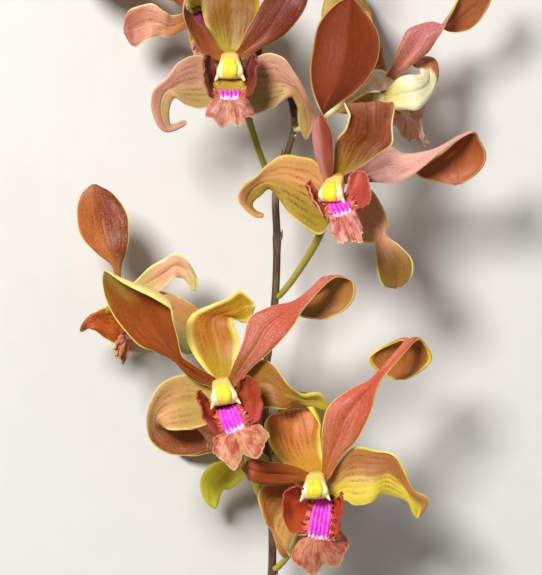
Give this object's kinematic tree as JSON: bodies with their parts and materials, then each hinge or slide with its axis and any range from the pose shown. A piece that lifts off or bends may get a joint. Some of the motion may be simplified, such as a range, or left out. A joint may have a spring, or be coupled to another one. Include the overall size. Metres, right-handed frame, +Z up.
{
  "type": "dendrobium orchid spray",
  "caption": "Cut spray of an antelope-type dendrobium orchid: open brown and coral blooms with twisted petals and frilled pink lips on one slim flower stem, laid on its back.",
  "frame": {"origin": "centre of the bounding box's bottom, on the surface that the spray lies on", "axes": "+Y along the flower stem from its cut end to its tip, +Z up from the surface, out of the faces of the front blooms, +X to the right as those faces are seen"},
  "size_m": [0.1297, 0.2486, 0.0589],
  "materials": {
    "dorsal_sepal": "satin living tissue, olive yellow with orange brown veins",
    "petal": "satin living tissue, brown face, coral pink back",
    "lateral_sepals": "satin living tissue, tan to yellow green with dark veins",
    "lip": "matt living tissue, coral lobes, magenta ridges",
    "column": "waxy living tissue, yellow",
    "pedicel": "satin living tissue, yellow green",
    "flower_stem": "satin living tissue, grey brown to olive"
  },
  "bodies": {
    "root": {"rachis": "flower_stem", "bloom_1_dorsal_sepal": "dorsal_sepal", "bloom_1_petal_left": "petal", "bloom_1_petal_right": "petal", "bloom_1_lateral_sepals": "lateral_sepals", "bloom_1_column": "column", "bloom_1_lip": "lip", "bloom_1_pedicel": "pedicel", "bloom_2_dorsal_sepal": "dorsal_sepal", "bloom_2_petal_left": "petal", "bloom_2_petal_right": "petal", "bloom_2_lateral_sepals": "lateral_sepals", "bloom_2_column": "column", "bloom_2_lip": "lip", "bloom_2_pedicel": "pedicel", "bloom_3_dorsal_sepal": "dorsal_sepal", "bloom_3_petal_left": "petal", "bloom_3_petal_right": "petal", "bloom_3_lateral_sepals": "lateral_sepals", "bloom_3_column": "column", "bloom_3_lip": "lip", "bloom_3_pedicel": "pedicel", "bloom_4_dorsal_sepal": "dorsal_sepal", "bloom_4_petal_left": "petal", "bloom_4_petal_right": "petal", "bloom_4_lateral_sepals": "lateral_sepals", "bloom_4_column": "column", "bloom_4_lip": "lip", "bloom_4_pedicel": "pedicel", "bloom_5_dorsal_sepal": "dorsal_sepal", "bloom_5_petal_left": "petal", "bloom_5_petal_right": "petal", "bloom_5_lateral_sepals": "lateral_sepals", "bloom_5_column": "column", "bloom_5_lip": "lip", "bloom_5_pedicel": "pedicel", "bloom_6_dorsal_sepal": "dorsal_sepal", "bloom_6_petal_left": "petal", "bloom_6_petal_right": "petal", "bloom_6_lateral_sepals": "lateral_sepals", "bloom_6_column": "column", "bloom_6_lip": "lip", "bloom_6_pedicel": "pedicel", "bloom_7_dorsal_sepal": "dorsal_sepal", "bloom_7_petal_left": "petal", "bloom_7_petal_right": "petal", "bloom_7_lateral_sepals": "lateral_sepals", "bloom_7_column": "column", "bloom_7_lip": "lip", "bloom_7_pedicel": "pedicel", "bloom_8_dorsal_sepal": "dorsal_sepal", "bloom_8_petal_left": "petal", "bloom_8_petal_right": "petal", "bloom_8_lateral_sepals": "lateral_sepals", "bloom_8_column": "column", "bloom_8_lip": "lip", "bloom_8_pedicel": "pedicel"}
  },
  "joints": []
}
